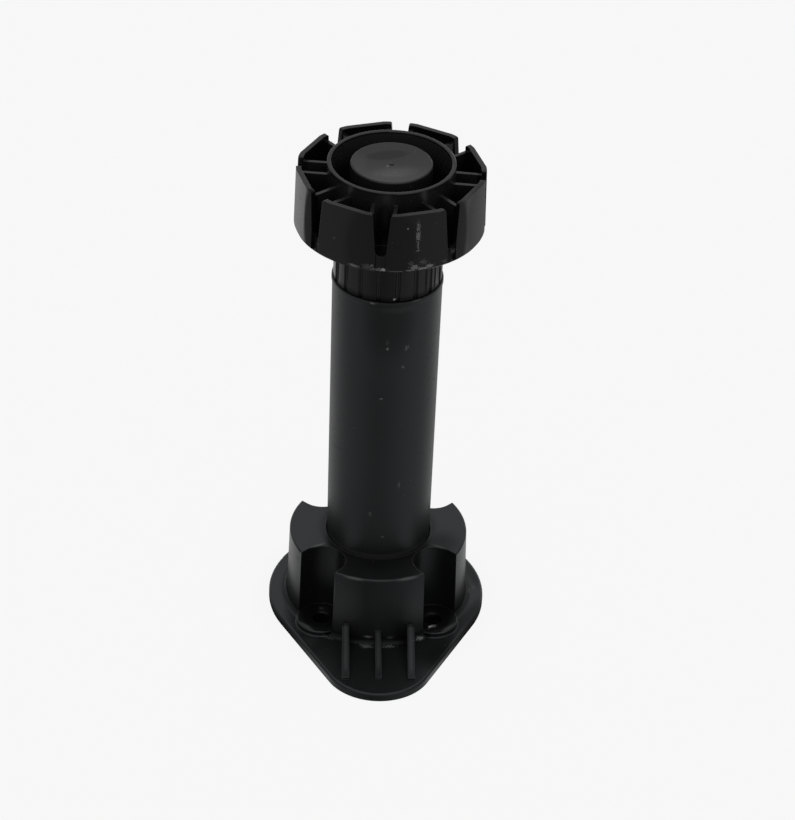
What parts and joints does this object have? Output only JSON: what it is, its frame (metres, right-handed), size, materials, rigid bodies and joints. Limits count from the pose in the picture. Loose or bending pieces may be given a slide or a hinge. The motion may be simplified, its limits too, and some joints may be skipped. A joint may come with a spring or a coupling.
{
  "type": "adjustable cabinet leg",
  "caption": "Adjustable plastic cabinet leg: a drop-shaped screw-on flange holds a tube whose castellated foot screws up and down.",
  "frame": {"origin": "centre of the tube's axis in the face that is screwed under the cabinet", "axes": "+Z along the tube from the mounting face to the floor end, so the leg stands upside down; the plate's tip points to -Y"},
  "size_m": [0.062, 0.0797, 0.1448],
  "materials": {
    "flange": "black moulded plastic, satin",
    "tube": "black moulded plastic, satin, a little dusty",
    "foot": "black moulded plastic, satin, lightly scuffed"
  },
  "bodies": {
    "leg": {"mounting_flange": "flange", "leg_tube": "tube"},
    "foot": {"adjusting_foot": "foot"}
  },
  "joints": [
    {"name": "foot_adjust", "type": "slide", "parent": "leg", "child": "foot", "axis": [0, 0, 1], "range_m": [0, 0.02]}
  ]
}
